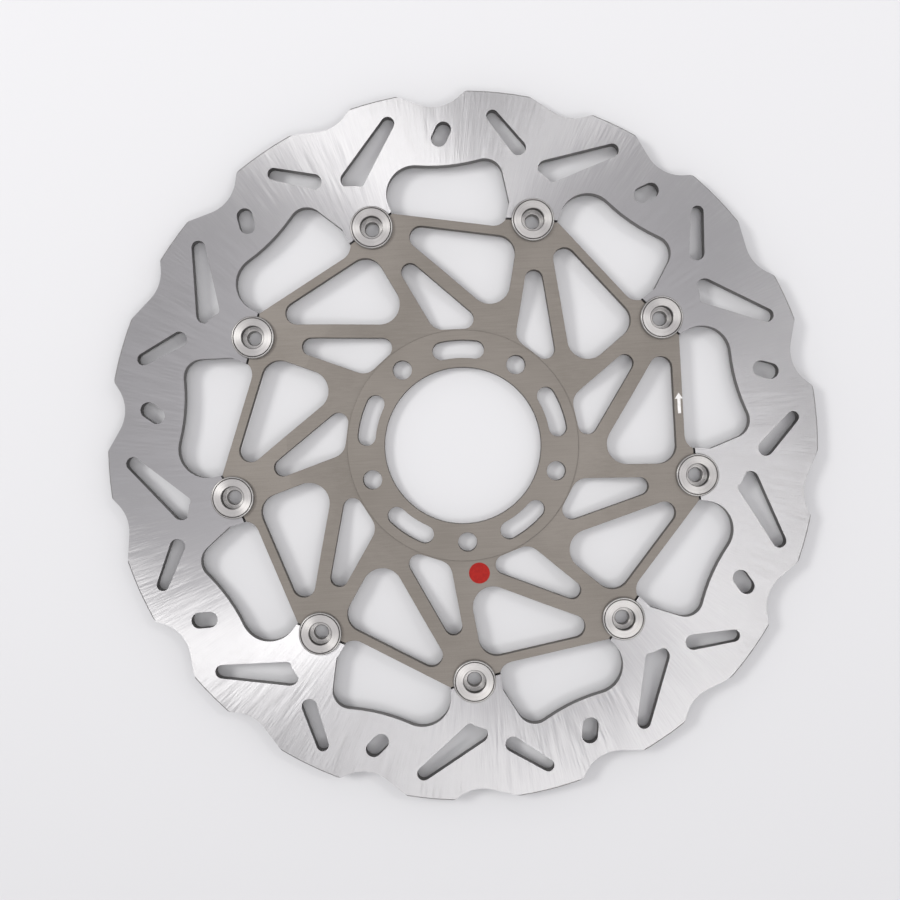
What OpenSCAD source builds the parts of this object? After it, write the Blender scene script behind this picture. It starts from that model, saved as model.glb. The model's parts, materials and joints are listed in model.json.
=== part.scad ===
// Floating brake disc for the front wheel of a motorcycle: a wavy steel braking ring, held by
// nine hollow bobbins on a light alloy carrier that bolts to the wheel hub.
// Millimetres. The disc lies flat in XY with its outer face up. The origin is the centre of the
// hub bore, on the face that meets the wheel. The first bobbin is on the -Y side, and angles
// run clockwise from each bobbin, seen from the outer face.

/* [Braking ring] */
// Outer diameter over the lobes
ring_d = 310; // [304:1:324]
// Distance from the rim in to the circle on which the bobbins sit
bobbin_in = 52; // [51:0.5:54]
// Thickness of the ring
ring_t = 5; // [4.8:0.1:6.5]
// Chamfer turned on both edges of the rim
rim_chamfer = 0.6; // [0.2:0.1:1]

/* [Notches in the rim] */
// Depth of the shallow notch, to the point where its flanks would meet
shallow_depth = 6.5; // [3:0.1:8]
// Angle from the bobbin to that point
shallow_at = 0.65; // [-1:0.05:2]
// Angle from the bobbin to the start of the shallow notch at the rim
shallow_from = -6.5; // [-8:0.1:-5]
// Angle from the bobbin to the end of the shallow notch at the rim
shallow_to = 4.3; // [3.5:0.1:6]
// Depth of the deep notch, to the point where its flanks would meet
deep_depth = 9.6; // [6:0.1:11]
// Angle from the bobbin to that point
deep_at = 19.1; // [18:0.1:20]
// Angle from the bobbin to the start of the deep notch at the rim
deep_from = 11.8; // [10.5:0.1:13]
// Angle from the bobbin to the end of the deep notch at the rim
deep_to = 23.2; // [22.5:0.1:25]
// Radius at the floor of a notch
notch_r = 17; // [8:0.5:20]
// Rounding where most notch flanks meet the rim
lobe_r = 1.5; // [0.5:0.1:3]
// Rounding where the far flank of the deep notch meets the rim
lobe_nose_r = 4; // [1:0.1:5]

/* [Slots in the ring] */
// Distance from the rim in to the outer end of the long slot
long_tip_in = 10.8; // [9:0.1:13]
// Angle from the bobbin to that end
long_tip_at = 9.6; // [8.5:0.1:10]
// Radius of that end
long_tip_r = 3; // [2:0.1:3.5]
// Distance from the bobbin circle out to the heel of the long slot
long_heel_out = 23.2; // [21:0.1:25]
// Angle from the bobbin to the heel
long_heel_at = -0.4; // [-1:0.1:0.2]
// Radius of the heel
long_heel_r = 3.8; // [3:0.1:4.5]
// Distance from the bobbin circle out to the toe of the long slot
long_toe_out = 20.3; // [18:0.1:21]
// Angle between the heel and the toe, seen from the disc's centre
long_toe_turn = 1.8; // [1.2:0.1:2.2]
// Radius of the toe
long_toe_r = 2; // [1.5:0.1:2.5]
// Distance from the rim in to the outer end of the short slot
short_tip_in = 10.6; // [9:0.1:13]
// Angle from the bobbin to that end
short_tip_at = -12.1; // [-13:0.1:-11]
// Radius of that end
short_tip_r = 2.7; // [2:0.1:3.2]
// Distance from the bobbin circle out to the inner end of the short slot
short_heel_out = 29.2; // [27:0.1:31]
// Angle from the bobbin to that end
short_heel_at = -6.7; // [-7.5:0.1:-6]
// Radius of that end
short_heel_r = 3.4; // [2.5:0.1:4]
// Distance from the rim in to the outer end of the oval hole
oval_in = 16.9; // [15:0.1:18]
// Radial length of the oval hole between its end centres
oval_run = 3.9; // [2:0.1:4.5]
// Angle from the bobbin to the outer end of the oval hole
oval_at = 19.2; // [18:0.1:20]
// Angle by which the oval hole leans back towards the bobbin
oval_lean = 0.9; // [0:0.1:1.5]
// Radius of the oval hole's ends
oval_r = 3.5; // [2.5:0.1:3.8]

/* [Lugs and bays] */
// Reach of a lug along its split line, on the clockwise side of the bobbin
lug_lead = 11; // [10.5:0.1:12]
// Reach of a lug along its split line, on the other side
lug_trail = 11.8; // [11.2:0.1:12.6]
// Angle of the split line to the bobbin circle
split_a = 14; // [10:0.5:18]
// Gap between ring and carrier along the split line
split_gap = 0.8; // [0.6:0.1:1.2]
// Height of the kink in a lug's trailing side, outwards from the bobbin circle
kink_out = 4.4; // [3:0.1:6]
// Reach of the kink from the lug's middle
kink_reach = 12.1; // [12:0.1:13]
// Rounding of the kink
kink_r = 1.5; // [0.5:0.1:3]
// Distance from the bobbin circle out to the bay's corner beside the leading side
bay_lead_out = 26.7; // [24:0.1:28]
// Radius of that corner
bay_lead_r = 12.6; // [8:0.1:13]
// Distance from the bobbin circle out to the bay's bend
bay_bend_out = 18.5; // [17:0.1:20]
// Angle from the bobbin to the bay's bend
bay_bend_at = 19.6; // [18:0.1:21]
// Radius of the bend
bay_bend_r = 80; // [30:1:90]
// Distance from the bobbin circle out to the bay's corner beside the next lug
bay_trail_out = 25.1; // [23:0.1:26]
// Angle of that corner, back from the next bobbin
bay_trail_back = 10.3; // [9.5:0.1:11]
// Radius of that corner
bay_trail_r = 8; // [4:0.1:9]

/* [Carrier] */
// Thickness of the carrier's arms and heads
arm_t = 4.2; // [3.8:0.1:4.4]
// Distance from the mount face forward to the ring's back face
ring_offset = 3.4; // [2.5:0.1:5]
// Diameter at which the cone round the hub runs out into the flat arms
dish_d = 154; // [140:1:164]
// Width of the outer struts from head to head
strut_w = 3.7; // [3:0.1:5]
// Distance from the bobbin circle in to a strut's outer edge, at its nearest to the centre
strut_drop = 6.2; // [5:0.1:7.5]
// Width of the spokes
spoke_w = 5.8; // [4.5:0.1:7]
// Distance of a straight spoke's middle line from the disc's centre
straight_offset = 12.4; // [9:0.1:15]
// Angle from the bobbin to a straight spoke's outer end
straight_at = -1.3; // [-2:0.1:-0.5]
// Distance of a slanted spoke's middle line inside the hub's edge
slant_inset = 0.5; // [0:0.1:3]
// Angle from the bobbin to a slanted spoke's outer end
slant_at = 1.75; // [1:0.05:2.5]
// Lean of a head's trailing side
head_lean = 20; // [12:1:28]
// Radius between a strut and the next head
head_r = 7.5; // [4:0.1:8]
// Corner radius of a large window at its tip
window_tip_r = 5; // [3:0.1:6]
// Corner radius of a large window beside the next head
window_head_r = 8; // [4:0.1:9]
// Corner radius of a large window beside the hub
window_hub_r = 9; // [4:0.1:10]
// Corner radius of a slender window at its tip
sliver_tip_r = 3.9; // [3:0.1:4.2]
// Corner radius of a slender window at the slanted spoke's foot
sliver_slant_r = 4.3; // [3:0.1:5]
// Corner radius of a slender window at the straight spoke's foot
sliver_foot_r = 7; // [3:0.1:9]

/* [Hub] */
// Diameter of the hub bore
bore_d = 69; // [60:0.1:70]
// Diameter of the raised hub face
hub_d = 101.5; // [99:0.1:103]
// Thickness of the hub
hub_t = 5; // [4.8:0.1:6]
// Step from the hub face down to the cone
hub_step = 0.6; // [0.2:0.1:0.6]
// Land between the hub face and the slender windows
hub_land = 0.5; // [0.3:0.1:1.5]
// Diameter of the bolt circle
bolt_circle_d = 85; // [82:0.1:86]
// Diameter of the bolt holes
bolt_hole_d = 8.4; // [6.4:0.1:9]
// Width of the arc slots between the bolt holes
arc_slot_w = 8; // [5:0.1:9]
// Angle between the end centres of an arc slot
arc_slot_span = 20; // [8:1:26]

/* [Bobbins] */
// Diameter of a bobbin's shank
shank_d = 12; // [11.4:0.1:12.4]
// Diameter of a bobbin's flange
flange_d = 18.6; // [17:0.1:20]
// Thickness of the flange
flange_t = 1.3; // [0.9:0.1:2]
// Chamfer on the flange's edge
flange_chamfer = 0.6; // [0.1:0.05:0.8]
// Diameter of the cup in the flange's face
cup_d = 9.8; // [8:0.1:10]
// Height of the cup's floor above the back face of the ring
cup_floor = 1.2; // [0.6:0.1:2.5]
// Diameter of the hole through the cup's floor
cup_hole_d = 6.2; // [4:0.1:7]
// Chamfer on the cup, its hole and the shank's end
bobbin_chamfer = 0.25; // [0.1:0.05:0.4]
// Diameter at the floor of the clip groove
groove_d = 11.3; // [10.6:0.1:11.3]
// Length of the shank beyond the clip groove
shank_end = 0.9; // [0.7:0.1:1.5]

/* [Washers and clips at the back] */
// Outer diameter of the washers
washer_d = 17.6; // [16:0.1:18.5]
// Thickness of the flat washer
washer_t = 0.5; // [0.3:0.1:1]
// Thickness of the cone spring washer's steel
spring_t = 0.5; // [0.3:0.05:0.6]
// Height of the cone spring washer's cone, as fitted
spring_rise = 0.35; // [0.2:0.05:0.6]
// Thickness of the clip
clip_t = 1; // [0.8:0.1:1.2]
// Radial width of the clip opposite its opening
clip_w = 2; // [1.6:0.1:2.4]
// Radial width of the clip beside its ears
clip_w_end = 1.3; // [1:0.1:1.6]
// Radius of the clip's ears
ear_r = 1.7; // [1.5:0.1:2]
// Distance from the clip's inner edge out to the middle of an ear
ear_out = 1.5; // [1.2:0.1:1.8]
// Diameter of the holes in the ears
ear_hole_d = 1.5; // [1:0.1:1.7]
// Angle between the ears' middles
ear_span = 42; // [36:1:60]

/* [Clearances] */
// Radial clearance of a shank in its ring seat
ring_seat_gap = 0.06; // [0.03:0.01:0.1]
// Radial clearance of a shank in its carrier seat
carrier_seat_gap = 0.1; // [0.06:0.01:0.2]
// Axial clearance of the flange and the flat washer at the ring
face_gap = 0.03; // [0.01:0.01:0.08]
// Radial clearance of the washers on the shank
washer_gap = 0.15; // [0.1:0.05:0.3]
// Clearance of the clip in its groove
clip_gap = 0.05; // [0.02:0.01:0.1]

/* [Hidden] */
bobbin_n = 9;
bolt_n = 5;
pitch = 360 / bobbin_n;
bolt_pitch = 360 / bolt_n;
first_turn = 180;
least_wall = 0.1;
arc_tolerance = 0.03;
over = 1;
round_fn = 180;
small_fn = 72;

ring_r = ring_d / 2;
circle_r = ring_r - bobbin_in;
hub_r = hub_d / 2;
shank_r = shank_d / 2;
ring_back = ring_offset;
ring_face = ring_back + ring_t;
arm_back = ring_back + (ring_t - arm_t) / 2;
arm_face = arm_back + arm_t;
foot_face = hub_t - hub_step;
foot_back = foot_face - arm_t;
washer_top = ring_back - face_gap;
washer_back = washer_top - washer_t;
spring_back = washer_back - spring_t - spring_rise;
clip_back = spring_back - clip_t;
groove_top = spring_back + clip_gap;
groove_back = clip_back - clip_gap;
shank_back = groove_back - shank_end;
flange_back = ring_face + face_gap;
flange_face = flange_back + flange_t;
cup_floor_z = ring_back + cup_floor;

function numbered(name) = [for (i = [1 : bobbin_n]) str(name, "_", i)];

// Flat geometry, in a sector whose bobbin is straight up from the centre

// Point at radius r, at angle a clockwise from the bobbin
function polar(r, a) = [r * sin(a), r * cos(a)];
// Point p turned clockwise by angle a
function turned(p, a) = [p.x * cos(a) + p.y * sin(a), p.y * cos(a) - p.x * sin(a)];
// Corner at point p, with rounding r
function corner(p, r = 0) = [p.x, p.y, r];
// Corners of one sector, repeated all round the disc
function all_round(corners) =
    [for (i = [0 : bobbin_n - 1], c = corners) corner(turned(c, i * pitch), c[2])];

// A line as its unit normal and its distance from the centre: nearest point at angle a
function line_at(a, distance) = [sin(a), cos(a), distance];
// Line through point p, running at angle a clockwise from the radial direction
function line_by(p, a) = [cos(a), -sin(a), p.x * cos(a) - p.y * sin(a)];
// Line through the point at radius r and angle a, with its nearest point further clockwise
function line_past(r, a, distance) = line_at(a + acos(distance / r), distance);
// Line l moved away from the centre by w
function moved(l, w) = [l[0], l[1], l[2] + w];
// Point where lines l and m meet
function meet(l, m) =
    let (k = l[0] * m[1] - l[1] * m[0])
    [(l[2] * m[1] - l[1] * m[2]) / k, (l[0] * m[2] - l[2] * m[0]) / k];

// Number of chords in an arc of radius r, at which the chords stay within the tolerance
function chords(r, sweep) = max(2, ceil(abs(sweep) / (2 * acos(1 - arc_tolerance / r))));
// Points along an arc round centre c
function arc(c, r, from, sweep) =
    let (n = chords(r, sweep))
    [for (i = [0 : n]) c + r * [cos(from + sweep * i / n), sin(from + sweep * i / n)]];
// Wall from corner a to corner b
function wall(a, b) = [b.x - a.x, b.y - a.y];
// Half the angle at corner b between its neighbours a and c
function half_angle(a, b, c) =
    let (u = wall(b, a), v = wall(b, c))
    acos(max(-1, min(1, u * v / norm(u) / norm(v)))) / 2;
// Points of the arc of radius r that rounds corner b between its neighbours a and c
function rounding(a, b, c, r) =
    let (p = [b.x, b.y],
         u = wall(b, a) / norm(wall(b, a)),
         v = wall(b, c) / norm(wall(b, c)),
         half = half_angle(a, b, c),
         centre = p + (u + v) / norm(u + v) * r / sin(half),
         start = p + u * r / tan(half) - centre,
         side = sign(cross(v, u)))
    arc(centre, r, atan2(start.y, start.x), side * (180 - 2 * half));
// Outline through a list of corners, each rounded by its own radius, or by less where the
// roundings at both ends of a wall would be longer than the wall
function rounded(corners) =
    let (n = len(corners),
         before = [for (i = [0 : n - 1]) corners[(i + n - 1) % n]],
         after = [for (i = [0 : n - 1]) corners[(i + 1) % n]],
         taken = [for (i = [0 : n - 1])
             let (b = corners[i])
             b[2] == 0 ? 0 : b[2] / tan(half_angle(before[i], b, after[i]))],
         kept = [for (i = [0 : n - 1])
             let (room = norm(wall(corners[i], after[i])) - least_wall)
             min(1, room / max(room, taken[i] + taken[(i + 1) % n]))])
    [for (i = [0 : n - 1])
        let (b = corners[i], r = b[2] * min(kept[i], kept[(i + n - 1) % n]))
        each r == 0 ? [[b.x, b.y]] : rounding(before[i], b, after[i], r)];
// Outline of a belt drawn clockwise round a list of circles, each a corner with its radius
function belt(circles) =
    let (n = len(circles),
         heads = [for (i = [0 : n - 1])
             let (a = circles[i], b = circles[(i + 1) % n], d = [b.x - a.x, b.y - a.y])
             atan2(d.y, d.x) + 90 - asin((b[2] - a[2]) / norm(d))])
    [for (i = [0 : n - 1])
        let (c = circles[i],
             from = heads[(i + n - 1) % n],
             fall = (from - heads[i] + 720) % 360)
        each arc([c.x, c.y], c[2], from, -fall)];

// Split line of a lug: the point at a distance along it from the bobbin's middle, and off it
function split_point(along, off) =
    [0, circle_r] + along * [cos(split_a), sin(split_a)] + off * [-sin(split_a), cos(split_a)];

// Repeats its children at each bobbin's sector
module each_sector() {
    for (i = [0 : bobbin_n - 1])
        rotate(first_turn - i * pitch)
            children();
}

// Repeats its children, drawn round the origin, at each bobbin's place
module at_bobbin(i) {
    rotate(first_turn - (i - 1) * pitch)
        translate([0, circle_r, 0])
            children();
}

// A flat shape through the whole thickness of the disc, to cut with
module through_cut() {
    cut_from = min(0, shank_back) - over;
    translate([0, 0, cut_from])
        linear_extrude(flange_face + over - cut_from)
            children();
}

// A notch in the rim, from one mouth to the other, with its floor between them
module notch(from, floor_at, to, depth, from_r, to_r) {
    mouth_run = 10;
    mouth_a = polar(ring_r, from);
    mouth_b = polar(ring_r, to);
    polygon(rounded([
        corner(mouth_a - mouth_run * [cos(from), -sin(from)]),
        corner(mouth_a, from_r),
        corner(polar(ring_r - depth, floor_at), notch_r),
        corner(mouth_b, to_r),
        corner(mouth_b + mouth_run * [cos(to), -sin(to)]),
        corner(polar(ring_r + mouth_run, to)),
        corner(polar(ring_r + mouth_run, from))]));
}

// The slots and the oval hole of one sector
module ring_slots() {
    polygon(belt([
        corner(polar(circle_r + long_heel_out, long_heel_at), long_heel_r),
        corner(polar(ring_r - long_tip_in, long_tip_at), long_tip_r),
        corner(polar(circle_r + long_toe_out, long_heel_at + long_toe_turn), long_toe_r)]));
    polygon(belt([
        corner(polar(circle_r + short_heel_out, short_heel_at), short_heel_r),
        corner(polar(ring_r - short_tip_in, short_tip_at), short_tip_r)]));
    polygon(belt([
        corner(polar(ring_r - oval_in, oval_at), oval_r),
        corner(polar(ring_r - oval_in - oval_run, oval_at - oval_lean), oval_r)]));
}

// Inner edge of the ring: the split line of each lug and the bay after it
function ring_inner_edge() = rounded(all_round([
    corner(split_point(-lug_trail, split_gap / 2)),
    corner(split_point(lug_lead, split_gap / 2)),
    corner([split_point(lug_lead, split_gap / 2).x, circle_r + bay_lead_out], bay_lead_r),
    corner(polar(circle_r + bay_bend_out, bay_bend_at), bay_bend_r),
    corner(polar(circle_r + bay_trail_out, pitch - bay_trail_back), bay_trail_r),
    corner(turned([-kink_reach, circle_r + kink_out], pitch), kink_r)]));

// Steel braking ring with its wavy rim, slots, bays and half-round bobbin seats
module brake_ring() {
    blank_r = circle_r - lug_trail;
    color("#bcbabc")
        difference() {
            translate([0, 0, ring_back])
                rotate_extrude($fn = round_fn)
                    polygon([
                        [blank_r, 0],
                        [ring_r - rim_chamfer, 0],
                        [ring_r, rim_chamfer],
                        [ring_r, ring_t - rim_chamfer],
                        [ring_r - rim_chamfer, ring_t],
                        [blank_r, ring_t]]);
            through_cut()
                rotate(first_turn)
                    polygon(ring_inner_edge());
            through_cut()
                each_sector() {
                    notch(shallow_from, shallow_at, shallow_to, shallow_depth, lobe_r, lobe_r);
                    notch(deep_from, deep_at, deep_to, deep_depth, lobe_r, lobe_nose_r);
                    ring_slots();
                    translate([0, circle_r])
                        circle(r = shank_r + ring_seat_gap, $fn = small_fn);
                }
        }
}

// Lines of the carrier in one sector
head_lead = split_point(lug_lead, -split_gap / 2);
head_trail = split_point(-lug_trail, -split_gap / 2);
strut = line_past(norm(head_lead), atan2(head_lead.x, head_lead.y), circle_r - strut_drop);
straight = line_past(circle_r, straight_at, straight_offset);
slant = line_past(circle_r, slant_at, hub_r - slant_inset);
hub_chord = line_at(pitch / 2, hub_r + hub_land);
next_straight = line_at(straight_at + acos(straight_offset / circle_r) + pitch, straight_offset);
next_trail = line_by(turned(head_trail, pitch), head_lean + pitch);

// Outer edge of the carrier: each head's split line and the strut to the next head
function carrier_edge() = rounded(all_round([
    corner(head_trail),
    corner(head_lead),
    corner(meet(strut, next_trail), head_r)]));

// The large window and the slender window of one sector
module windows() {
    polygon(rounded([
        corner(meet(moved(slant, spoke_w / 2), moved(strut, -strut_w)), window_tip_r),
        corner(meet(moved(strut, -strut_w), moved(next_straight, -spoke_w / 2)), window_head_r),
        corner(meet(moved(next_straight, -spoke_w / 2), moved(slant, spoke_w / 2)), window_hub_r)]));
    polygon(rounded([
        corner(meet(moved(straight, spoke_w / 2), moved(slant, -spoke_w / 2)), sliver_tip_r),
        corner(meet(moved(slant, -spoke_w / 2), hub_chord), sliver_slant_r),
        corner(meet(hub_chord, moved(straight, spoke_w / 2)), sliver_foot_r)]));
}

// An arc slot in the hub, centred straight up
module arc_slot() {
    bolt_r = bolt_circle_d / 2;
    half = arc_slot_span / 2;
    end_r = arc_slot_w / 2;
    polygon(concat(
        arc([0, 0], bolt_r + end_r, 90 + half, -arc_slot_span),
        arc(polar(bolt_r, half), end_r, 90 - half, -180),
        arc([0, 0], bolt_r - end_r, 90 - half, arc_slot_span),
        arc(polar(bolt_r, -half), end_r, 270 + half, -180)));
}

// Turned blank of the carrier: the flat hub with its bore, the cone that rises from it, and the
// flat disc at the ring's level from which the arms are cut
module carrier_blank() {
    bore_r = bore_d / 2;
    dish_r = dish_d / 2;
    blank_r = circle_r + lug_lead;
    rotate_extrude($fn = round_fn)
        polygon([
            [bore_r, 0],
            [hub_r, 0],
            [hub_r, foot_back],
            [dish_r, arm_back],
            [blank_r, arm_back],
            [blank_r, arm_face],
            [dish_r, arm_face],
            [hub_r, foot_face],
            [hub_r, hub_t],
            [bore_r, hub_t]]);
}

// Alloy carrier: dished hub with its bore, bolt holes and arc slots, spokes, struts and heads
module carrier() {
    color("#8a847b")
        difference() {
            intersection() {
                carrier_blank();
                through_cut()
                    rotate(first_turn)
                        polygon(carrier_edge());
            }
            through_cut()
                each_sector()
                    windows();
            through_cut()
                for (i = [0 : bolt_n - 1])
                    rotate(first_turn + (i + 0.5) * bolt_pitch)
                        arc_slot();
            for (i = [1 : bobbin_n])
                at_bobbin(i)
                    translate([0, 0, shank_back])
                        cylinder(h = flange_face - shank_back, r = shank_r + carrier_seat_gap,
                                 $fn = small_fn);
            for (i = [0 : bolt_n - 1])
                rotate(first_turn - i * bolt_pitch)
                    translate([0, bolt_circle_d / 2, -over])
                        cylinder(h = hub_t + 2 * over, d = bolt_hole_d, $fn = small_fn);
        }
}

// Hollow bobbin, turned in one piece: flange, cup, shank and clip groove
module bobbin() {
    flange_r = flange_d / 2;
    cup_r = cup_d / 2;
    hole_r = cup_hole_d / 2;
    groove_r = groove_d / 2;
    c = bobbin_chamfer;
    color("#cbc8c4")
        rotate_extrude($fn = small_fn)
            polygon([
                [hole_r + c, shank_back],
                [shank_r - c, shank_back],
                [shank_r, shank_back + c],
                [shank_r, groove_back],
                [groove_r, groove_back],
                [groove_r, groove_top],
                [shank_r, groove_top],
                [shank_r, flange_back],
                [flange_r, flange_back],
                [flange_r, flange_face - flange_chamfer],
                [flange_r - flange_chamfer, flange_face],
                [cup_r + c, flange_face],
                [cup_r, flange_face - c],
                [cup_r, cup_floor_z],
                [hole_r + c, cup_floor_z],
                [hole_r, cup_floor_z - c],
                [hole_r, shank_back + c]]);
}

// Flat washer under the ring and the carrier head
module flat_washer() {
    color("#a8a8ab")
        translate([0, 0, washer_back])
            rotate_extrude($fn = small_fn)
                translate([shank_r + washer_gap, 0])
                    square([washer_d / 2 - shank_r - washer_gap, washer_t]);
}

// Cone spring washer, its outer edge on the flat washer and its inner edge on the clip
module spring_washer() {
    inner_r = shank_r + washer_gap;
    outer_r = washer_d / 2;
    color("#77787c")
        rotate_extrude($fn = small_fn)
            polygon([
                [inner_r, spring_back],
                [outer_r, spring_back + spring_rise],
                [outer_r, washer_back],
                [inner_r, washer_back - spring_rise]]);
}

// Outside circlip: thick opposite its opening, with an ear and a plier hole at each end
module circlip() {
    inner_r = groove_d / 2 + clip_gap;
    outer_r = inner_r + (clip_w + clip_w_end) / 2;
    ear_at = inner_r + ear_out;
    far = 3 * outer_r;
    color("#4a4b4e")
        translate([0, 0, clip_back])
            linear_extrude(clip_t)
                difference() {
                    union() {
                        translate([0, (clip_w - clip_w_end) / 2])
                            circle(r = outer_r, $fn = small_fn);
                        for (side = [-1, 1])
                            rotate(side * ear_span / 2)
                                translate([0, -ear_at])
                                    circle(r = ear_r, $fn = small_fn);
                    }
                    circle(r = inner_r, $fn = small_fn);
                    polygon([
                        [0, 0],
                        far * [sin(-ear_span / 4), -cos(ear_span / 4)],
                        far * [sin(ear_span / 4), -cos(ear_span / 4)]]);
                    for (side = [-1, 1])
                        rotate(side * ear_span / 2)
                            translate([0, -ear_at])
                                circle(d = ear_hole_d, $fn = small_fn);
                }
}

brake_ring();
carrier();
for (i = [1 : bobbin_n]) {
    at_bobbin(i) bobbin();
    at_bobbin(i) flat_washer();
    at_bobbin(i) spring_washer();
    at_bobbin(i) circlip();
}
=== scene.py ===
"""Looks of a floating brake disc: ground steel ring, anodised carrier and turned bobbins.

Everything is in metres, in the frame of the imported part. The disc lies flat with its outer face
up, its centre is the origin, and the back of the hub rests on the floor.
"""

import json
import logging
import math
from dataclasses import dataclass, field
from enum import Enum
from typing import Any, Mapping, Optional, Sequence, Union

import bmesh
import bpy
from mathutils import Matrix, Vector


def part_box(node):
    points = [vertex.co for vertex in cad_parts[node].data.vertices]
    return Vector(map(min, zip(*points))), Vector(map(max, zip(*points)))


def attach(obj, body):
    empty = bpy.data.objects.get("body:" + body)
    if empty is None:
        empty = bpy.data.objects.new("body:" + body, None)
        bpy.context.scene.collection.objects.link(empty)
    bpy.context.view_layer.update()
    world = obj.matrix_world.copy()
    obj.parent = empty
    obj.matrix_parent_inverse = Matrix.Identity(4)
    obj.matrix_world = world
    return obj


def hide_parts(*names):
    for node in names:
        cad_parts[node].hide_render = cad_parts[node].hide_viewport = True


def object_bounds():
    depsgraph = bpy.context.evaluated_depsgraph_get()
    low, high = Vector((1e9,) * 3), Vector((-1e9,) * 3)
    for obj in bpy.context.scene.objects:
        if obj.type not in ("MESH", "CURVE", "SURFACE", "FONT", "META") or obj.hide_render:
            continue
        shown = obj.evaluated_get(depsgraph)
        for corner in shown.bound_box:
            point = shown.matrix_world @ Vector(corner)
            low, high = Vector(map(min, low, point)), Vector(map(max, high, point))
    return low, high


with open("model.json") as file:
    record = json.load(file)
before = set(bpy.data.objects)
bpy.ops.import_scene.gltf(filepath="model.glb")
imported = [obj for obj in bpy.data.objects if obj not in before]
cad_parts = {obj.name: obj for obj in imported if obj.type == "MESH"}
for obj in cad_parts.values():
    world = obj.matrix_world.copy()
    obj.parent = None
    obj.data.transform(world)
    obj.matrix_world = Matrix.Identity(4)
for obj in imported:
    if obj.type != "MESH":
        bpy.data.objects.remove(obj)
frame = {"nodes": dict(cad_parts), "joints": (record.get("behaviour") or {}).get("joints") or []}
cad_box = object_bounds()

LOG = logging.getLogger("brake_disc")
MM = 0.001

# Points closer than these become one, before and after the edges are broken.
WELD = 0.002 * MM
FINE_WELD = 0.0005 * MM

# Faces that meet flatter than the first are one face. Edges sharper than the second are broken.
FLAT_ANGLE = math.radians(0.05)
BREAK_ANGLE = math.radians(50)

# Shading runs on across an edge below the first angle. Between two faces that are both within the
# second of level, it runs on only below the third.
SHADE_ANGLE = math.radians(20)
LEVEL_ANGLE = math.radians(15)
CREASE_ANGLE = math.radians(3)

# A surface is a flat face up to the first angle from level, and a wall beyond the second.
FACE_ANGLE = math.radians(5)
WALL_ANGLE = math.radians(75)

# How far the sharp edges of the ring and the carrier are broken.
EDGE_BREAK = 0.2 * MM

# Watts for each square metre of an area light that looks as bright as a white surface.
WHITE_POWER = 4.0

Point = tuple[float, float]
Triple = tuple[float, float, float]
Colour = Triple
Corner = Triple
Key = Union[str, int]
Operand = Union[float, "Signal"]


class Signal:
    """An output of a shader node that takes part in Python arithmetic."""

    def __init__(self, shader: "Shader", node: bpy.types.ShaderNode, output: Key = 0) -> None:
        """Wraps one output.

        Args:
            shader: The shader that the node belongs to.
            node: The node.
            output: The name or number of the node's output.
        """
        self.shader = shader
        self.node = node
        self.output = output

    @property
    def socket(self) -> bpy.types.NodeSocket:
        """Returns the output socket."""
        return self.node.outputs[self.output]

    def other(self, name: str) -> "Signal":
        """Returns another output of the same node."""
        return Signal(self.shader, self.node, name)

    def maths(self, operation: str, *others: Operand) -> "Signal":
        """Returns the result of a Math node on this value and others."""
        return self.shader.maths(operation, self, *others)

    def swing(self, width: float) -> "Signal":
        """Returns a value from 0 to 1 as one that swings about 0, over a given width."""
        return width * (self - 0.5)

    def on_circle(self, radius: Operand) -> tuple["Signal", "Signal"]:
        """Returns X and Y of the point at this angle on a circle."""
        return self.maths("COSINE") * radius, self.maths("SINE") * radius

    def __add__(self, other: Operand) -> "Signal":
        """Returns the sum."""
        return self.shader.maths("ADD", self, other)

    def __radd__(self, other: Operand) -> "Signal":
        """Returns the sum, with this value second."""
        return self.shader.maths("ADD", other, self)

    def __sub__(self, other: Operand) -> "Signal":
        """Returns the difference."""
        return self.shader.maths("SUBTRACT", self, other)

    def __rsub__(self, other: Operand) -> "Signal":
        """Returns the difference, with this value second."""
        return self.shader.maths("SUBTRACT", other, self)

    def __mul__(self, other: Operand) -> "Signal":
        """Returns the product."""
        return self.shader.maths("MULTIPLY", self, other)

    def __rmul__(self, other: Operand) -> "Signal":
        """Returns the product, with this value second."""
        return self.shader.maths("MULTIPLY", other, self)

    def __truediv__(self, other: Operand) -> "Signal":
        """Returns the quotient."""
        return self.shader.maths("DIVIDE", self, other)

    def __rtruediv__(self, other: Operand) -> "Signal":
        """Returns the quotient, with this value second."""
        return self.shader.maths("DIVIDE", other, self)


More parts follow.
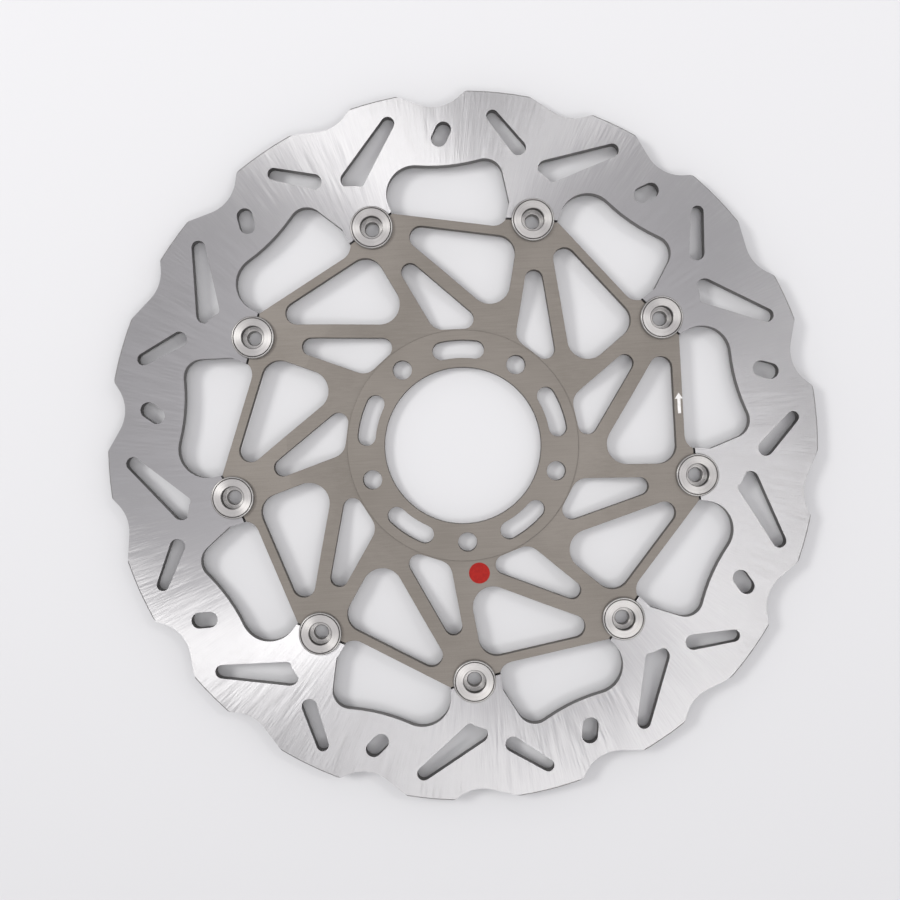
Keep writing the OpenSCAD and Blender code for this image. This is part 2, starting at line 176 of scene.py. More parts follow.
class Shader:
    """The nodes of one material or world."""

    def __init__(self, tree: bpy.types.NodeTree) -> None:
        """Empties the tree, which is then filled."""
        self.tree = tree
        tree.nodes.clear()

    def node(
        self,
        kind: str,
        settings: Optional[Mapping[str, Any]] = None,
        sockets: Optional[Mapping[Key, Any]] = None,
        output: Key = 0,
    ) -> Signal:
        """Adds one node.

        Args:
            kind: The node's type, without the words that all types start with.
            settings: The node's own settings, which are set first; "stops" are a ramp's stops.
            sockets: The values or signals of the node's input sockets.
            output: The output that is returned.

        Returns:
            The node's output as a signal.
        """
        made = self.tree.nodes.new("ShaderNode" + kind)
        for name, value in (settings or {}).items():
            if name == "stops":
                self._set_stops(made.color_ramp, value)
            else:
                setattr(made, name, value)
        for key, value in (sockets or {}).items():
            self._feed(made.inputs[key], value)
        return Signal(self, made, output)

    def maths(self, operation: str, *values: Operand) -> Signal:
        """Adds a Math node on values and signals."""
        return self.node("Math", {"operation": operation}, dict(enumerate(values)))

    def vector(self, x: Operand, y: Operand, z: Operand = 0.0) -> Signal:
        """Joins three values into a vector."""
        return self.node("CombineXYZ", None, {"X": x, "Y": y, "Z": z})

    def stretch(self, value: Signal, low: float, high: float) -> Signal:
        """Maps the range from low to high smoothly to 0 to 1, and holds the value inside."""
        sockets = {"Value": value, "From Min": low, "From Max": high}
        return self.node("MapRange", {"interpolation_type": "SMOOTHSTEP"}, sockets)

    def tint(self, factor: Signal, first: Any, second: Any) -> Signal:
        """Mixes two colours by a factor."""
        settings = {"data_type": "RGBA"}
        return self.node("Mix", settings, {0: factor, 6: first, 7: second}, output=2)

    def noise(self, place: Signal, scale: float, detail: float = 2.0, rough: float = 0.5) -> Signal:
        """Adds noise over a place, with its scale in waves per unit."""
        sockets = {"Vector": place, "Scale": scale, "Detail": detail, "Roughness": rough}
        return self.node("TexNoise", None, sockets)

    def relief(self, height: Signal, depth: float, strength: float) -> Signal:
        """Returns the surface normal with a fine relief, with its depth in metres."""
        return self.node("Bump", None, {"Strength": strength, "Distance": depth, "Height": height})

    def finish(self, kind: str, sockets: Mapping[str, Any], to: str = "Material") -> None:
        """Adds the surface shader and the output that ends the tree."""
        surface = self.node(kind, None, sockets)
        self.node("Output" + to, None, {"Surface": surface})

    @staticmethod
    def _set_stops(ramp: bpy.types.ColorRamp, stops: Sequence[tuple[float, Colour]]) -> None:
        """Sets the stops of a colour ramp.

        Args:
            ramp: The ramp.
            stops: The position and the colour of each stop, in order.
        """
        while len(ramp.elements) < len(stops):
            ramp.elements.new(1.0)
        for element, (position, colour) in zip(ramp.elements, stops):
            element.position = position
            element.color = (*colour, 1.0)

    def _feed(self, socket: bpy.types.NodeSocket, value: Any) -> None:
        """Links a signal to an input socket, or sets the socket's own value.

        Args:
            socket: The input socket.
            value: The signal, or a value of the socket's kind.
        """
        if isinstance(value, Signal):
            self.tree.links.new(value.socket, socket)
        elif socket.type == "RGBA" and len(value) == 3:
            socket.default_value = (*value, 1.0)
        else:
            socket.default_value = value


@dataclass(frozen=True)
class Place:
    """Where a shaded point lies on its piece, in millimetres and radians."""

    whole: Signal
    angle: Signal
    radius: Signal
    height: Signal

    @classmethod
    def on(cls, shader: Shader) -> "Place":
        """Reads the place from the piece's own coordinates.

        Args:
            shader: The shader that needs it.

        Returns:
            The place as signals.
        """
        metres = shader.node("TexCoord", output="Object")
        scale = {"operation": "SCALE"}
        whole = shader.node("VectorMath", scale, {"Vector": metres, "Scale": 1 / MM})
        x = shader.node("SeparateXYZ", None, {"Vector": whole})
        y, z = x.other("Y"), x.other("Z")
        radius = (x * x + y * y).maths("SQRT")
        return cls(whole, y.maths("ARCTAN2", x), radius, z)


def start_material(name: str) -> tuple[bpy.types.Material, Shader, Place]:
    """Makes an empty material.

    Args:
        name: The material's name.

    Returns:
        The material, the shader that fills it, and where a shaded point lies.
    """
    material = bpy.data.materials.new(name)
    material.use_nodes = True
    shader = Shader(material.node_tree)
    return material, shader, Place.on(shader)


@dataclass(frozen=True)
class GroundSteel:
    """Ground stainless steel, with fine lines that run out from the disc's centre.

    Lines are counted for each radian, and lean by so many radians for each millimetre outwards.
    The run of a line says how fast it changes along its length.
    """

    name: str = "ground_steel"
    colour: Colour = (0.315, 0.312, 0.312)
    pale: Colour = (0.375, 0.369, 0.369)
    roughness: float = 0.36
    roughness_swing: float = 0.04
    streak_tilt: float = 0.06
    anisotropy: float = 1.0
    line_radius: float = 140.0
    fine_lines: float = 300.0
    broad_lines: float = 110.0
    lean: float = 0.0007
    line_run: float = 0.035
    fine_share: float = 0.5
    crossing_share: float = 0.35
    broad_share: float = 0.15
    streak_range: Point = (0.36, 0.64)
    cloud_scale: float = 0.05
    cloud_share: float = 0.3

    def lines(self, shader: Shader, place: Place, per_radian: float, lean: float) -> Signal:
        """Draws noise that is long across the ring and fine round it.

        Args:
            shader: The shader that needs it.
            place: Where the shaded point lies.
            per_radian: How many lines there are in a radian.
            lean: By how many radians a line turns for each millimetre outwards.

        Returns:
            The lines' strength, from 0 to 1.
        """
        turn = place.angle + lean * (place.radius - self.line_radius)
        along = shader.vector(*turn.on_circle(per_radian), place.radius * self.line_run)
        return shader.noise(along, scale=1.0, detail=3.0, rough=0.6)

    def tilted(self, shader: Shader, place: Place, amount: Signal) -> Signal:
        """Tilts the surface normal away from the disc's centre.

        Args:
            shader: The shader that needs it.
            place: Where the shaded point lies.
            amount: How far the normal moves outwards, as a share of its length.

        Returns:
            The tilted normal.
        """
        outwards = shader.vector(*place.angle.on_circle(amount))
        plain = shader.node("NewGeometry", output="Normal")
        moved = shader.node("VectorMath", {"operation": "ADD"}, {0: plain, 1: outwards})
        return shader.node("VectorMath", {"operation": "NORMALIZE"}, {0: moved})

    def material(self) -> bpy.types.Material:
        """Makes the material for the ring's ground faces.

        Returns:
            The material.
        """
        material, shader, place = start_material(self.name)
        fine = self.lines(shader, place, self.fine_lines, self.lean)
        crossing = self.lines(shader, place, self.fine_lines, -self.lean)
        broad = self.lines(shader, place, self.broad_lines, self.lean / 2)
        streak = self.fine_share * fine + self.crossing_share * crossing + self.broad_share * broad
        shade = shader.stretch(streak, *self.streak_range)
        cloud = shader.noise(place.whole, self.cloud_scale, detail=3.0)
        tone = shade * (1 - self.cloud_share) + cloud * self.cloud_share
        shader.finish(
            "BsdfPrincipled",
            {
                "Base Color": shader.tint(tone, self.colour, self.pale),
                "Metallic": 1.0,
                "Roughness": self.roughness + shade.swing(self.roughness_swing),
                "Anisotropic": self.anisotropy,
                "Normal": self.tilted(shader, place, shade.swing(self.streak_tilt)),
            },
        )
        return material


@dataclass(frozen=True)
class CutSteel:
    """The steel where a cutter has left it: bright chamfers, or the duller walls of the cut, whose
    darker colour is in part painted shade.

    The cutter's layers are counted for each millimetre of height, and change along the radius.
    """

    name: str
    colour: Colour
    pale: Colour
    roughness: float
    roughness_swing: float = 0.16
    layer_run: float = 0.2
    layers: float = 6.0
    layer_share: float = 0.6
    grain_scale: float = 2.2
    depth: float = 0.01 * MM
    strength: float = 0.5

    def material(self) -> bpy.types.Material:
        """Makes the material for one kind of cut.

        Returns:
            The material.
        """
        material, shader, place = start_material(self.name)
        across = shader.vector(
            place.radius * self.layer_run, place.angle, place.height * self.layers
        )
        feed = shader.noise(across, scale=1.0, detail=3.0, rough=0.6)
        grain = shader.noise(place.whole, self.grain_scale)
        tone = feed * self.layer_share + grain * (1 - self.layer_share)
        shader.finish(
            "BsdfPrincipled",
            {
                "Base Color": shader.tint(tone, self.colour, self.pale),
                "Metallic": 1.0,
                "Roughness": self.roughness + grain.swing(self.roughness_swing),
                "Normal": shader.relief(feed, self.depth, self.strength),
            },
        )
        return material


@dataclass(frozen=True)
class AnodisedAlloy:
    """Hard-anodised alloy: a satin warm grey with a fine grain and traces of rolling."""

    name: str = "anodised_alloy"
    colour: Colour = (0.176, 0.16, 0.14)
    pale: Colour = (0.223, 0.204, 0.181)
    roughness: float = 0.6
    roughness_swing: float = 0.1
    grain_scale: float = 3.2
    rolling_scale: Triple = (0.06, 1.6, 1.6)
    cloud_scale: float = 0.03
    grain_share: float = 0.4
    rolling_share: float = 0.25
    cloud_share: float = 0.35
    shade_range: Point = (0.34, 0.66)
    depth: float = 0.006 * MM
    strength: float = 0.6

    def material(self) -> bpy.types.Material:
        """Makes the material for the carrier.

        Returns:
            The material.
        """
        material, shader, place = start_material(self.name)
        grain = shader.noise(place.whole, self.grain_scale, detail=3.0, rough=0.65)
        drawn_out = {0: place.whole, 1: self.rolling_scale}
        traces = shader.node("VectorMath", {"operation": "MULTIPLY"}, drawn_out)
        rolling = shader.noise(traces, scale=1.0)
        cloud = shader.noise(place.whole, self.cloud_scale)
        mixed = self.grain_share * grain + self.rolling_share * rolling + self.cloud_share * cloud
        shade = shader.stretch(mixed, *self.shade_range)
        shader.finish(
            "BsdfPrincipled",
            {
                "Base Color": shader.tint(shade, self.colour, self.pale),
                "Metallic": 1.0,
                "Roughness": self.roughness + grain.swing(self.roughness_swing),
                "Normal": shader.relief(grain, self.depth, self.strength),
            },
        )
        return material


@dataclass(frozen=True)
class TurnedSteel:
    """Bright steel with the fine rings that a lathe tool leaves, and a few dull specks.

    The pitch of the rings is in millimetres, and they drift a little round the axis.
    """

    name: str = "turned_steel"
    colour: Colour = (0.27, 0.262, 0.25)
    pale: Colour = (0.36, 0.35, 0.336)
    roughness: float = 0.36
    roughness_swing: float = 0.1
    anisotropy: float = 0.8
    anisotropy_turn: float = 0.25
    ring_pitch: float = 0.22
    ring_drift: float = 0.3
    ring_range: Point = (0.3, 0.7)
    speck_scale: float = 1.1
    speck_range: Point = (0.62, 0.75)
    speck_shade: float = 0.5
    speck_roughness: float = 0.12
    depth: float = 0.005 * MM
    strength: float = 0.7

    def material(self) -> bpy.types.Material:
        """Makes the material for turned pieces.

        Returns:
            The material.
        """
        material, shader, place = start_material(self.name)
        across = (place.radius + place.height) / self.ring_pitch
        path = shader.vector(across, *place.angle.on_circle(self.ring_drift))
        rings = shader.noise(path, scale=1.0)
        spots = shader.noise(place.whole, self.speck_scale, detail=3.0, rough=0.7)
        speck = shader.stretch(spots, *self.speck_range)
        shade = shader.stretch(rings, *self.ring_range)
        dull = self.roughness + shade.swing(self.roughness_swing) + self.speck_roughness * speck
        shader.finish(
            "BsdfPrincipled",
            {
                "Base Color": shader.tint(shade - self.speck_shade * speck, self.colour, self.pale),
                "Metallic": 1.0,
                "Roughness": dull,
                "Anisotropic": self.anisotropy,
                "Anisotropic Rotation": self.anisotropy_turn,
                "Normal": shader.relief(rings, self.depth, self.strength),
            },
        )
        return material


@dataclass(frozen=True)
class RolledSteel:
    """Strip steel as washers and clips have it: plain, oiled or phosphated."""

    name: str
    colour: Colour
    pale: Colour
    roughness: float
    metallic: float = 1.0
    roughness_swing: float = 0.14
    grain_scale: float = 2.6
    cloud_scale: float = 0.35
    grain_share: float = 0.5
    shade_range: Point = (0.35, 0.65)
    depth: float = 0.006 * MM
    strength: float = 0.4

    def material(self) -> bpy.types.Material:
        """Makes the material for one kind of strip.

        Returns:
            The material.
        """
        material, shader, place = start_material(self.name)
        grain = shader.noise(place.whole, self.grain_scale, detail=3.0, rough=0.6)
        cloud = shader.noise(place.whole, self.cloud_scale)
        mixed = self.grain_share * grain + (1 - self.grain_share) * cloud
        shade = shader.stretch(mixed, *self.shade_range)
        shader.finish(
            "BsdfPrincipled",
            {
                "Base Color": shader.tint(shade, self.colour, self.pale),
                "Metallic": self.metallic,
                "Roughness": self.roughness + grain.swing(self.roughness_swing),
                "Normal": shader.relief(grain, self.depth, self.strength),
            },
        )
        return material


@dataclass(frozen=True)
class Enamel:
    """A thin coat of enamel or marking paint."""

    name: str
    colour: Colour
    deep: Colour
    roughness: float
    shine: float
    roughness_swing: float = 0.1
    cloud_scale: float = 0.8
    cloud_range: Point = (0.35, 0.65)
    grain_scale: float = 6.0
    depth: float = 0.004 * MM
    strength: float = 0.3

    def material(self) -> bpy.types.Material:
        """Makes the material for one colour of enamel.

        Returns:
            The material.
        """
        material, shader, place = start_material(self.name)
        cloud = shader.noise(place.whole, self.cloud_scale, detail=3.0)
        grain = shader.noise(place.whole, self.grain_scale)
        shade = shader.stretch(cloud, *self.cloud_range)
        shader.finish(
            "BsdfPrincipled",
            {
                "Base Color": shader.tint(shade, self.deep, self.colour),
                "Roughness": self.roughness + grain.swing(self.roughness_swing),
                "Specular IOR Level": self.shine,
                "Normal": shader.relief(grain, self.depth, self.strength),
            },
        )
        return material


@dataclass(frozen=True)
class PaleGroundPaintedLight:
    """The matt pale sheet that the disc lies on. Its colour carries painted light: a little paler
    towards the back and the right.

    The rise is the share by which the painted light makes it paler for each millimetre along X,
    Y and Z, and the painted light spread is the most that it departs from its colour.
    """

    name: str = "pale_ground_painted_light"
    colour: Colour = (0.604, 0.604, 0.604)
    rise: Triple = (0.000095, 0.000245, 0.0)
    painted_light_spread: float = 0.1
    roughness: float = 0.9
    shine: float = 0.1

    def material(self) -> bpy.types.Material:
        """Makes the material for the floor.

        Returns:
            The material.
        """
        material, shader, place = start_material(self.name)
        # Painted light: the colour runs paler along the rise, in place of a change in the lamps'
        # light.
        along = {0: place.whole, 1: self.rise}
        change = shader.node("VectorMath", {"operation": "DOT_PRODUCT"}, along, output="Value")
        shares = (1 - self.painted_light_spread, 1 + self.painted_light_spread)
        dark, light = (tuple(part * share for part in self.colour) for share in shares)
        shader.finish(
            "BsdfPrincipled",
            {
                "Base Color": shader.tint(0.5 + change / (2 * self.painted_light_spread), dark, light),
                "Roughness": self.roughness,
                "Specular IOR Level": self.shine,
            },
        )
        return material


class Surface(Enum):
    """The kinds of surface on a part, in the order of its materials."""

    FACE = 0
    CHAMFER = 1
    WALL = 2

    @classmethod
    def of(cls, normal: Vector) -> "Surface":
        """Tells the kind of a surface.

        Args:
            normal: The normal of the surface.

        Returns:
            The kind, by how far the surface is from level.
        """
        if abs(normal.z) > math.cos(FACE_ANGLE):
            return cls.FACE
        return cls.CHAMFER if abs(normal.z) > math.cos(WALL_ANGLE) else cls.WALL


def flows(edge: bmesh.types.BMEdge) -> bool:
    """Tells whether shading runs on across an edge, as on rounds and not where a cone starts."""
    level = all(abs(face.normal.z) > math.cos(LEVEL_ANGLE) for face in edge.link_faces)
    return edge.calc_face_angle(math.pi) < (CREASE_ANGLE if level else SHADE_ANGLE)


def new_piece(
    name: str, mesh: bmesh.types.BMesh, materials: Sequence[bpy.types.Material]
) -> bpy.types.Object:
    """Turns a mesh into a piece with smooth rounds and crisp edges.

    Args:
        name: The piece's name.
        mesh: The mesh, which is freed.
        materials: The piece's materials, in the order of the numbers on its faces.

    Returns:
        The piece, linked to the scene.
    """
    mesh.normal_update()
    for face in mesh.faces:
        face.smooth = True
    for edge in mesh.edges:
        edge.smooth = flows(edge)
    data = bpy.data.meshes.new(name)
    mesh.to_mesh(data)
    mesh.free()
    for material in materials:
        data.materials.append(material)
    piece = bpy.data.objects.new(name, data)
    bpy.context.scene.collection.objects.link(piece)
    return piece


def settle(piece: bpy.types.Object, body: str, slot: str, *replaced: str) -> None:
    """Puts a finished piece on its body and logs it.

    Args:
        piece: The piece.
        body: The body that it moves with.
        slot: The record's material slot that it belongs to; not used.
        replaced: The nodes that it stands for.
    """
    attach(piece, body)
    if replaced:
        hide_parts(*replaced)
    LOG.info("%s rides on %s, %d faces", piece.name, body, len(piece.data.polygons))


def rounded(corners: Sequence[Corner], steps: int = 3) -> list[Point]:
    """Rounds the corners of a closed half section.

    Args:
        corners: The corners as radius, height and rounding.
        steps: The number of steps in each rounding.

    Returns:
        The points of the rounded section as radius and height.
    """
    points = []
    count = len(corners)
    for index, (radius, height, rounding) in enumerate(corners):
        here = Vector((radius, height))
        back = (Vector(corners[index - 1][:2]) - here).normalized()
        onward = (Vector(corners[(index + 1) % count][:2]) - here).normalized()
        half = back.angle(onward) / 2
        start = here + back * rounding / math.tan(half)
        end = here + onward * rounding / math.tan(half)
        for step in range(steps + 1):
            share = step / steps
            bend = (1 - share) ** 2 * start + 2 * share * (1 - share) * here + share**2 * end
            points.append((bend.x, bend.y))
    return points


def turned_mesh(section: Sequence[Point], segments: int) -> bmesh.types.BMesh:
    """Turns a closed half section about the Z axis.

    Args:
        section: The half section as radius and height.
        segments: The number of steps in a turn.

    Returns:
        The closed mesh.
    """
    mesh = bmesh.new()
    rings = []
    for step in range(segments):
        angle = 2 * math.pi * step / segments
        across, along = math.cos(angle), math.sin(angle)
        rings.append([mesh.verts.new((r * across, r * along, z)) for r, z in section])
    count = len(section)
    for step in range(segments):
        here, there = rings[step], rings[(step + 1) % segments]
        for index in range(count):
            after = (index + 1) % count
            mesh.faces.new((here[index], there[index], there[after], here[after]))
    bmesh.ops.recalc_face_normals(mesh, faces=mesh.faces)
    return mesh


@dataclass
class PlatePart:
    """A part cut from plate: its solid, with the sharp edges broken and a finish on each surface.

    Where there are fewer materials than kinds of surface, the last one serves for the rest.
    """

    node: str
    body: str
    slot: str
    edge_break: float
    materials: Sequence[bpy.types.Material]
    segments: int = 2

    def mesh(self) -> bmesh.types.BMesh:
        """Makes the part's mesh, with whole faces and broken edges.

        Returns:
            The closed mesh.
        """
        mesh = bmesh.new()
        mesh.from_mesh(frame["nodes"][self.node].data)
        bmesh.ops.remove_doubles(mesh, verts=mesh.verts, dist=WELD)
        bmesh.ops.dissolve_limit(
            mesh, angle_limit=FLAT_ANGLE, verts=mesh.verts, edges=mesh.edges, delimit=set()
        )
        bmesh.ops.bevel(
            mesh,
            geom=[edge for edge in mesh.edges if edge.calc_face_angle(0.0) > BREAK_ANGLE],
            offset=self.edge_break,
            offset_type="OFFSET",
            segments=self.segments,
            profile=0.5,
            affect="EDGES",
            clamp_overlap=True,
        )
        bmesh.ops.remove_doubles(mesh, verts=mesh.verts, dist=FINE_WELD)
        return mesh

    def build(self) -> None:
        """Builds the piece that stands for the node, dresses it and puts it on its body."""
        mesh = self.mesh()
        mesh.normal_update()
        for face in mesh.faces:
            face.material_index = min(Surface.of(face.normal).value, len(self.materials) - 1)
        piece = new_piece(self.node + "_dressed", mesh, self.materials)
        settle(piece, self.body, self.slot, self.node)


@dataclass
class Bobbin:
    """A hollow bobbin, turned in one piece: flange, stepped cup, shank and clip groove.

    The heights of the cup's floor and of the groove are measured from the shank's end.
    """

    number: int
    place: Vector
    outside: bpy.types.Material
    # The inside material paints shade on the cup's walls and in the flange's fine line.
    inside: bpy.types.Material
    flange_radius: float = 9.3 * MM
    flange_thickness: float = 1.3 * MM
    rim_width: float = 0.3 * MM
    rim_drop: float = 0.3 * MM
    line_radius: float = 8.45 * MM
    line_half: float = 0.24 * MM
    line_depth: float = 0.3 * MM
    shank_radius: float = 6.0 * MM
    cup_radius: float = 4.9 * MM
    cup_floor: float = 4.53 * MM
    cup_steps: int = 3
    step_in: float = 0.36 * MM
    step_rise: float = 0.4 * MM
    hole_radius: float = 3.1 * MM
    groove_radius: float = 5.65 * MM
    groove_top: float = 2.0 * MM
    groove_back: float = 0.9 * MM
    chamfer: float = 0.25 * MM
    edge: float = 0.05 * MM
    rim_edge: float = 0.14 * MM
    segments: int = 128

    @property
    def node(self) -> str:
        """Returns the name of the bobbin's node, which is also that of its body."""
        return f"bobbin_{self.number}"

    def cup(self, floor: float) -> list[Corner]:
        """Draws the cup's stepped floor.

        Args:
            floor: The height of the lowest step.

        Returns:
            The corners, from the cup's wall in to the hole.
        """
        corners = []
        for step in range(self.cup_steps):
            level = floor + (self.cup_steps - step) * self.step_rise
            wall = self.cup_radius - step * self.step_in
            corners += [(wall, level, self.edge), (wall - self.step_in, level, self.edge)]
        wall = self.cup_radius - self.cup_steps * self.step_in
        return [*corners, (wall, floor, self.edge)]

    def profile(self) -> list[Corner]:
        """Draws the half section.

        Returns:
            The corners, counter-clockwise from the shank's end.
        """
        low, high = (corner.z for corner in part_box(self.node))
        flange_back = high - self.flange_thickness
        floor, top, back = (low + up for up in (self.cup_floor, self.groove_top, self.groove_back))
        hole, shank, flange = self.hole_radius, self.shank_radius, self.flange_radius
        return [
            (hole + self.chamfer, low, self.edge),
            (shank - self.chamfer, low, self.edge),
            (shank, low + self.chamfer, self.edge),
            (shank, back, self.edge),
            (self.groove_radius, back, self.edge),
            (self.groove_radius, top, self.edge),
            (shank, top, self.edge),
            (shank, flange_back, self.edge),
            (flange, flange_back, self.edge),
            (flange, high - self.rim_drop, self.rim_edge),
            (flange - self.rim_width, high, self.rim_edge),
            (self.line_radius + self.line_half, high, self.edge),
            (self.line_radius, high - self.line_depth, self.edge),
            (self.line_radius - self.line_half, high, self.edge),
            (self.cup_radius + self.chamfer, high, self.rim_edge),
            (self.cup_radius, high - self.chamfer, self.rim_edge),
            *self.cup(floor),
            (hole + self.chamfer, floor, self.edge),
            (hole, floor - self.chamfer, self.edge),
            (hole, low + self.chamfer, self.edge),
        ]

    def takes_painted_shade(self, face: bmesh.types.BMFace) -> bool:
        """Tells whether a face takes the inside material, a much darker steel that paints shade.

        Args:
            face: The face.

        Returns:
            True for the cup's walls and the flange's fine line, which get painted shade.
        """
        kind = Surface.of(face.normal)
        radius = face.calc_center_median().xy.length
        in_cup = self.hole_radius + self.edge < radius < self.cup_radius + self.edge
        in_line = abs(radius - self.line_radius) < self.line_half
        return (in_cup and kind is Surface.WALL) or (in_line and kind is not Surface.FACE)

    def build(self) -> None:
        """Builds the bobbin, dresses it and puts it on its body."""
        mesh = turned_mesh(rounded(self.profile()), self.segments)
        mesh.normal_update()
        for face in mesh.faces:
            face.material_index = int(self.takes_painted_shade(face))
        piece = new_piece(self.node + "_turned", mesh, [self.outside, self.inside])
        piece.location = (self.place.x, self.place.y, 0.0)
        settle(piece, self.node, "bobbin_steel", self.node)


@dataclass
class Marks:
    """The marks on the carrier: an arrow for the direction of rotation and a plain red dot."""

    arrow_paint: bpy.types.Material
    dot_enamel: bpy.types.Material
    arrow_middle: Vector = field(default_factory=lambda: Vector((95.1, 13.9, 8.0)) * MM)
    arrow_proud: float = 0.03 * MM
    arrow_length: float = 9.0 * MM
    head_length: float = 2.6 * MM
    head_width: float = 3.5 * MM
    shaft_width: float = 1.35 * MM
    dot_middle: Vector = field(default_factory=lambda: Vector((4.46, -56.33, 5.19)) * MM)
    dot_proud: float = 0.07 * MM
    dot_radius: float = 4.58 * MM
    dot_segments: int = 96
    cone_angle: float = 7.81

    def build_arrow(self) -> None:
        """Builds the arrow, which points along its strut, against the clock."""
        tail, tip = -self.arrow_length / 2, self.arrow_length / 2
        neck = tip - self.head_length
        head, shaft = self.head_width / 2, self.shaft_width / 2
        outline = [
            (-shaft, tail),
            (shaft, tail),
            (shaft, neck),
            (head, neck),
            (0.0, tip),
            (-head, neck),
            (-shaft, neck),
        ]
        place = Matrix.Translation(self.arrow_middle)
        self.plate("direction_arrow", outline, self.arrow_proud, place, self.arrow_paint)

    def build_dot(self) -> None:
        """Builds the red dot, which lies on the cone beside the hub."""
        turns = [2 * math.pi * step / self.dot_segments for step in range(self.dot_segments)]
        outline = [(self.dot_radius * math.cos(a), self.dot_radius * math.sin(a)) for a in turns]
        outwards = math.atan2(self.dot_middle.y, self.dot_middle.x)
        tilt = Matrix.Rotation(-math.radians(self.cone_angle), 4, "Y")
        place = Matrix.Translation(self.dot_middle) @ Matrix.Rotation(outwards, 4, "Z") @ tilt
        self.plate("red_dot", outline, self.dot_proud, place, self.dot_enamel)

    def plate(
        self,
        name: str,
        outline: Sequence[Point],
        proud: float,
        place: Matrix,
        material: bpy.types.Material,
    ) -> None:
        """Lays a thin closed plate on the carrier.

        Args:
            name: The piece's name.
            outline: The plate's outline round its own middle, counter-clockwise.
            proud: How far the plate stands out.
            place: Where the plate's middle lies on the carrier, and its tilt.
            material: The plate's material.
        """
        mesh = bmesh.new()
        base = mesh.faces.new([mesh.verts.new((x, y, 0.0)) for x, y in outline])
        raised = bmesh.ops.extrude_face_region(mesh, geom=[base])["geom"]
        top = [part for part in raised if isinstance(part, bmesh.types.BMVert)]
        bmesh.ops.translate(mesh, verts=top, vec=(0.0, 0.0, proud))
        bmesh.ops.recalc_face_normals(mesh, faces=mesh.faces)
        bmesh.ops.transform(mesh, matrix=place, verts=mesh.verts)
        settle(new_piece(name, mesh, [material]), "carrier", "carrier_alloy")


@dataclass(frozen=True)
class Softbox:
    """A rectangular soft light that points at the disc, with its angles in degrees.

    Its brightness is given in that of a white surface.
    """

    name: str
    azimuth: float
    elevation: float
    roll: float
    width: float
    height: float
    brightness: float
    distance: float = 1.5

    def build(self) -> None:
        """Builds the light, and hangs it at its distance from the disc's centre."""
        lamp = bpy.data.lights.new(self.name, "AREA")
        lamp.shape = "RECTANGLE"
        lamp.size, lamp.size_y = self.width, self.height
        lamp.energy = WHITE_POWER * self.width * self.height * self.brightness
        light = bpy.data.objects.new(self.name, lamp)
        turn, tilt = math.radians(self.azimuth + 90), math.radians(90 - self.elevation)
        facing = Matrix.Rotation(turn, 4, "Z") @ Matrix.Rotation(tilt, 4, "X")
        roll = Matrix.Rotation(math.radians(self.roll), 4, "Z")
        light.matrix_world = facing @ roll @ Matrix.Translation((0.0, 0.0, self.distance))
        bpy.context.scene.collection.objects.link(light)


@dataclass
class Studio:
    """The camera, the lights and the floor.

    The frame is as wide as the view at the view's height. The sky's colours are given at heights
    above the horizon in degrees.
    """

    view_width: float = 391.5 * MM
    view_height: float = 9.73 * MM
    camera_distance: float = 470 * MM
    camera_turn: float = -2.82
    aim: Point = (-5.79 * MM, -1.72 * MM)
    sensor: float = 36.0
    clip_range: Point = (0.01, 50.0)
    floor_size: float = 8.0
    sky: Sequence[tuple[float, Colour]] = (
        (0, (0.85, 0.838, 0.874)),
        (20, (0.75, 0.74, 0.77)),
        (40, (0.5, 0.493, 0.514)),
        (57, (0.4, 0.394, 0.411)),
        (71, (1.7, 1.675, 1.75)),
        (83, (2.65, 2.61, 2.73)),
    )
    softboxes: Sequence[Softbox] = (
        Softbox("left_softbox", 160, 48, 14, 0.42, 0.34, 16.5),
        Softbox("right_strip", 13, 44, -26, 0.11, 1.08, 3.6),
        Softbox("back_strip", 40, 57, 7, 0.9, 0.112, 4.8),
        Softbox("front_softbox", -66, 64, -4, 0.68, 0.26, 4.8),
    )

    def build_camera(self) -> None:
        """Builds the camera, straight above the disc."""
        camera = bpy.data.cameras.new("camera")
        camera.sensor_width = self.sensor
        camera.lens = self.sensor * self.camera_distance / self.view_width
        camera.clip_start, camera.clip_end = self.clip_range
        holder = bpy.data.objects.new("camera", camera)
        holder.location = (*self.aim, self.view_height + self.camera_distance)
        holder.rotation_euler = (0.0, 0.0, math.radians(self.camera_turn))
        bpy.context.scene.collection.objects.link(holder)
        bpy.context.scene.camera = holder

    def build_floor(self) -> None:
        """Lays the floor under the hub."""
        half = self.floor_size / 2
        level = cad_box[0].z
        mesh = bmesh.new()
        corners = ((-half, -half), (half, -half), (half, half), (-half, half))
        mesh.faces.new([mesh.verts.new((x, y, level)) for x, y in corners])
        floor = new_piece("floor", mesh, [PaleGroundPaintedLight().material()])

    def build_world(self) -> None:
        """Lights the room by a sky whose colour changes with the height above the horizon."""
        world = bpy.data.worlds.new("studio")
        world.use_nodes = True
        bpy.context.scene.world = world
        shader = Shader(world.node_tree)
        ray = shader.node("TexCoord", output="Generated")
        rise = shader.node("SeparateXYZ", None, {"Vector": ray}).other("Z")
        stops = [(math.sin(math.radians(height)), colour) for height, colour in self.sky]
        light = shader.node("ValToRGB", {"stops": stops}, {"Fac": rise})
        shader.finish("Background", {"Color": light, "Strength": 1.0}, to="World")

    def build(self) -> None:
        """Builds the camera, the floor and all lights."""
        self.build_camera()
        self.build_floor()
        self.build_world()
        for softbox in self.softboxes:
            softbox.build()
        bpy.context.scene.view_settings.view_transform = "Standard"


def bobbin_places() -> dict[int, Vector]:
    """Returns each bobbin's number and its place on the bobbin circle."""
    turns = [joint for joint in frame["joints"] if joint["name"].endswith("_turn")]
    return {int(joint["child"].split("_")[1]): Vector(joint["pos_m"]) for joint in turns}


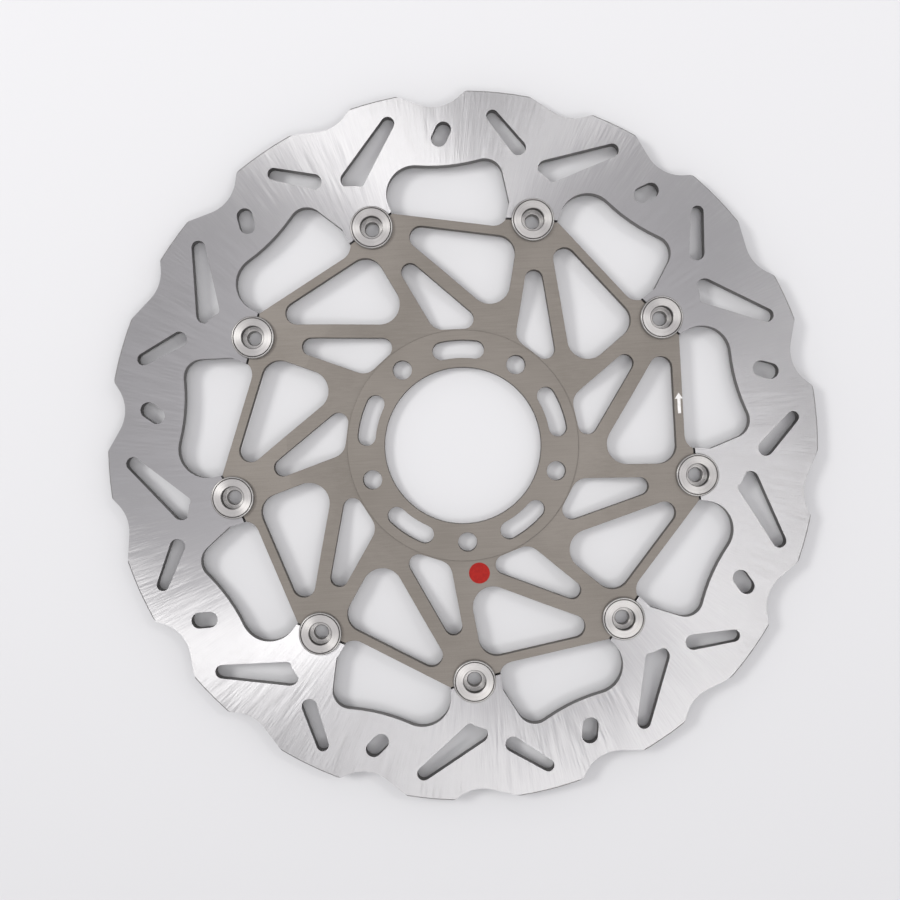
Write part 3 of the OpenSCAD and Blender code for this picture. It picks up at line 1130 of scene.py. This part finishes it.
def build_ring() -> None:
    """Builds the braking ring: ground faces, bright chamfers, and duller walls with painted shade.
    """
    finishes = (
        GroundSteel(),
        CutSteel("chamfer_steel", (0.25, 0.244, 0.24), (0.34, 0.334, 0.325), roughness=0.34),
        # Painted shade in part: the walls' colour is far darker than the faces' steel.
        CutSteel("wall_steel_painted_shade", (0.105, 0.102, 0.099), (0.185, 0.179, 0.173), roughness=0.45),
    )
    materials = [finish.material() for finish in finishes]
    PlatePart("brake_ring", "brake_ring", "ring_steel", EDGE_BREAK, materials).build()


def build_carrier() -> None:
    """Builds the carrier, whose walls take painted shade: a darker copy of the same alloy."""
    alloy = AnodisedAlloy().material()
    # Painted shade: the walls are of the same alloy as the faces, only painted darker.
    wall = AnodisedAlloy("anodised_wall_painted_shade", (0.105, 0.095, 0.083), (0.14, 0.128, 0.113)).material()
    PlatePart("carrier", "carrier", "carrier_alloy", EDGE_BREAK, [alloy, alloy, wall]).build()


def build_bobbins() -> None:
    """Builds the bobbins, each with the washers and the circlip on its shank."""
    outside = TurnedSteel().material()
    # Painted shade: a far darker steel for the cup's walls and the flange's fine line.
    inside = TurnedSteel("bored_steel_painted_shade", (0.06, 0.057, 0.053), (0.13, 0.125, 0.117)).material()
    washer = RolledSteel("washer_steel", (0.48, 0.48, 0.485), (0.62, 0.62, 0.62), roughness=0.34)
    spring = RolledSteel("spring_steel", (0.24, 0.24, 0.25), (0.36, 0.355, 0.35), roughness=0.3)
    clip = RolledSteel(
        "clip_steel", (0.035, 0.035, 0.037), (0.075, 0.074, 0.073), roughness=0.42, metallic=0.6
    )
    stack = [
        ("flat_washer", washer.name, 0.06 * MM, [washer.material()]),
        ("spring_washer", spring.name, 0.05 * MM, [spring.material()]),
        ("circlip", clip.name, 0.08 * MM, [clip.material()]),
    ]
    for number, place in bobbin_places().items():
        bobbin = Bobbin(number, place, outside, inside)
        bobbin.build()
        for node, slot, edge_break, materials in stack:
            PlatePart(f"{node}_{number}", bobbin.node, slot, edge_break, materials).build()


def build_marks() -> None:
    """Builds the arrow in pale paint and the dot in red enamel."""
    white = Enamel("marking_paint", (0.72, 0.71, 0.69), (0.62, 0.61, 0.59), 0.55, shine=0.3)
    red = Enamel("red_enamel", (0.305, 0.011, 0.007), (0.255, 0.008, 0.006), 0.45, shine=0.12)
    marks = Marks(white.material(), red.material())
    marks.build_arrow()
    marks.build_dot()


def main() -> None:
    """Builds the studio and then the disc, in the order in which the real one goes together."""
    logging.basicConfig(level=logging.INFO, format="%(message)s")
    Studio().build()
    build_ring()
    build_carrier()
    build_bobbins()
    build_marks()


if __name__ == "__main__":
    main()
